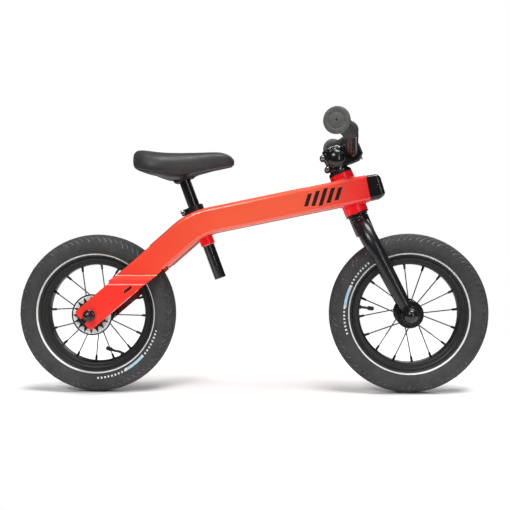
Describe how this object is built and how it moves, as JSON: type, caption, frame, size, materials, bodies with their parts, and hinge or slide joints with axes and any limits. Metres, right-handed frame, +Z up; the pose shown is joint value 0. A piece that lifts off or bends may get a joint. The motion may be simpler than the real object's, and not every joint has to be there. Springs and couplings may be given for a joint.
{
  "type": "balance bike",
  "caption": "Child's balance bike: box-section beam frame, straight fork, riser bar with flanged grips, height-adjustable saddle, spoked wheels with balloon tyres.",
  "frame": {"origin": "on the ground, midway between the two wheel axles, in the bike's middle plane", "axes": "+X forwards, +Y to the rider's left, +Z up; the drive side faces -Y"},
  "size_m": [0.9, 0.4188, 0.5107],
  "materials": {
    "frame_paint": "gloss orange-red powder coat",
    "gloss_black": "gloss black paint",
    "black_plastic": "moulded black, fine grain",
    "anodised_black": "black anodised",
    "steel": "zinc-plated and polished",
    "tyre_rubber": "matt dark grey",
    "tube_rubber": "butyl black",
    "grip_rubber": "matt dark grey",
    "saddle_vinyl": "smooth dark grey vinyl over foam"
  },
  "bodies": {
    "frame": {"main_beam": "frame_paint", "head_tube": "frame_paint", "seat_tube": "frame_paint", "right_stay": "frame_paint", "left_stay": "frame_paint", "beam_end_cap": "black_plastic", "end_cap_screw_right": "steel", "end_cap_screw_left": "steel", "headset_cup_upper": "anodised_black", "headset_cup_lower": "anodised_black", "seat_clamp": "anodised_black", "seat_clamp_bolt": "steel", "rear_axle": "steel", "rear_cone_right": "steel", "rear_cone_left": "steel", "rear_washer_right": "steel", "rear_washer_left": "steel", "rear_nut_right": "gloss_black", "rear_nut_left": "gloss_black"},
    "seat": {"seat_post": "gloss_black", "saddle_bracket": "black_plastic", "saddle_base": "black_plastic", "saddle_cover": "saddle_vinyl"},
    "steering": {"steerer": "anodised_black", "fork_crown": "gloss_black", "fork_leg_right": "gloss_black", "fork_leg_left": "gloss_black", "crown_race": "steel", "lower_bearing": "steel", "upper_bearing": "steel", "headset_cover": "anodised_black", "stem": "gloss_black", "stem_faceplate": "gloss_black", "faceplate_bolt_upper": "steel", "faceplate_bolt_lower": "steel", "pinch_bolt_upper": "steel", "pinch_bolt_lower": "steel", "top_cap": "gloss_black", "top_cap_bolt": "steel", "handlebar": "gloss_black", "grip_right": "grip_rubber", "grip_left": "grip_rubber", "front_axle": "steel", "front_cone_right": "steel", "front_cone_left": "steel", "front_washer_right": "steel", "front_washer_left": "steel", "front_nut_right": "gloss_black", "front_nut_left": "gloss_black"},
    "front_wheel": {"front_tyre": "tyre_rubber", "front_inner_tube": "tube_rubber", "front_rim": "anodised_black", "front_hub": "anodised_black"},
    "rear_wheel": {"rear_tyre": "tyre_rubber", "rear_inner_tube": "tube_rubber", "rear_rim": "anodised_black", "rear_hub": "anodised_black", "spoke_protector": "steel"},
    "freewheel": {"sprocket": "anodised_black"}
  },
  "joints": [
    {"name": "seat_height", "type": "slide", "parent": "frame", "child": "seat", "axis": [-0.342, 0, 0.9397], "range_m": [-0.045, 0.06]},
    {"name": "steering", "type": "hinge", "parent": "frame", "child": "steering", "pos_m": [0.18749, 0, 0.37612], "axis": [-0.3827, 0, 0.9239], "range_deg": [-75, 75]},
    {"name": "front_wheel_spin", "type": "hinge", "parent": "steering", "child": "front_wheel", "pos_m": [0.2985, 0, 0.1515], "axis": [0, 1, 0], "continuous": true},
    {"name": "rear_wheel_spin", "type": "hinge", "parent": "frame", "child": "rear_wheel", "pos_m": [-0.2985, 0, 0.1515], "axis": [0, 1, 0], "continuous": true},
    {"name": "sprocket_freewheel", "type": "hinge", "parent": "rear_wheel", "child": "freewheel", "pos_m": [-0.2985, 0, 0.1515], "axis": [0, 1, 0], "continuous": true}
  ]
}
